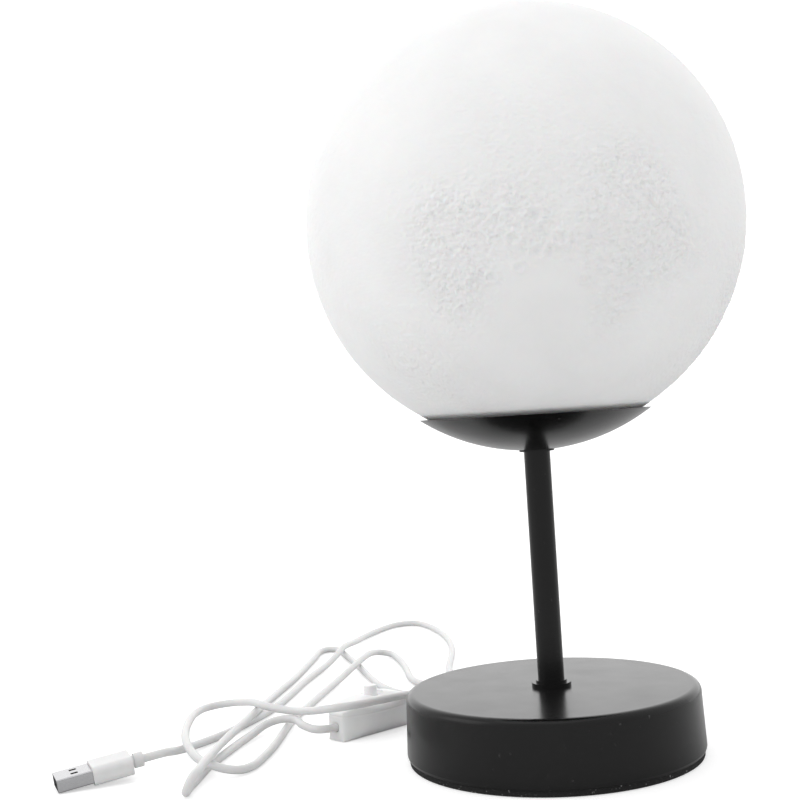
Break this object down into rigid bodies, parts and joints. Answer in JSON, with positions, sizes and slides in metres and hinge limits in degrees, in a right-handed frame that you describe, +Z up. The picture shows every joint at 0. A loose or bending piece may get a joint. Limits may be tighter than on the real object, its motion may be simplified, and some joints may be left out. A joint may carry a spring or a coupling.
{
  "type": "moon lamp",
  "caption": "Table lamp with a printed moon globe in a shallow metal cup, a thin post, a round weighted base, and a white cord with an in-line push switch and a flat plug.",
  "frame": {"origin": "centre of the foam pad's underside, on the surface that the lamp stands on", "axes": "+Z up along the post, +Y towards the back, where the cord leaves the base, +X to the right seen from the front"},
  "size_m": [0.2467, 0.3555, 0.257],
  "materials": {
    "black_metal": "semi-matt",
    "foam": "matt",
    "steel": "satin",
    "iron": "rough",
    "moon": "fine printed relief",
    "ring_plastic": "satin",
    "board_aluminium": "satin",
    "board_white": "gloss",
    "led_yellow": "gloss",
    "cord_white": "semi-gloss",
    "switch_white": "semi-gloss",
    "plug_steel": "polished",
    "contact_brass": "satin"
  },
  "bodies": {
    "root": {"base_pad": "foam", "base_cover": "black_metal", "bottom_plate": "steel", "base_weight": "iron", "plate_screws": "steel", "stem_collar": "black_metal", "stem_tube": "black_metal", "top_washer": "black_metal", "threaded_rod": "steel", "lower_washer": "steel", "upper_washer": "steel", "lower_nut": "steel", "upper_nut": "steel", "cup": "black_metal", "shade": "moon", "shade_ring": "ring_plastic", "led_holder": "board_aluminium", "led_board": "board_white", "led_screws": "steel", "led_chips": "led_yellow", "cord_bush": "cord_white", "inner_lead": "cord_white", "switch_lower_half": "switch_white", "switch_upper_half": "switch_white", "switch_screws": "steel", "switch_contacts": "contact_brass", "button_spring": "steel", "plug_shell": "plug_steel", "plug_tongue": "ring_plastic", "plug_contacts": "contact_brass", "plug_grip": "cord_white", "cord_lamp_side": "cord_white", "cord_plug_side": "cord_white"},
    "button": {"switch_button": "switch_white", "contact_bridge": "contact_brass"}
  },
  "joints": [
    {"name": "button_press", "type": "slide", "parent": "root", "child": "button", "axis": [0, 0, -1], "range_m": [0, 0.0015], "stiffness_N_per_m": 300, "deforming": ["button_spring"]}
  ]
}
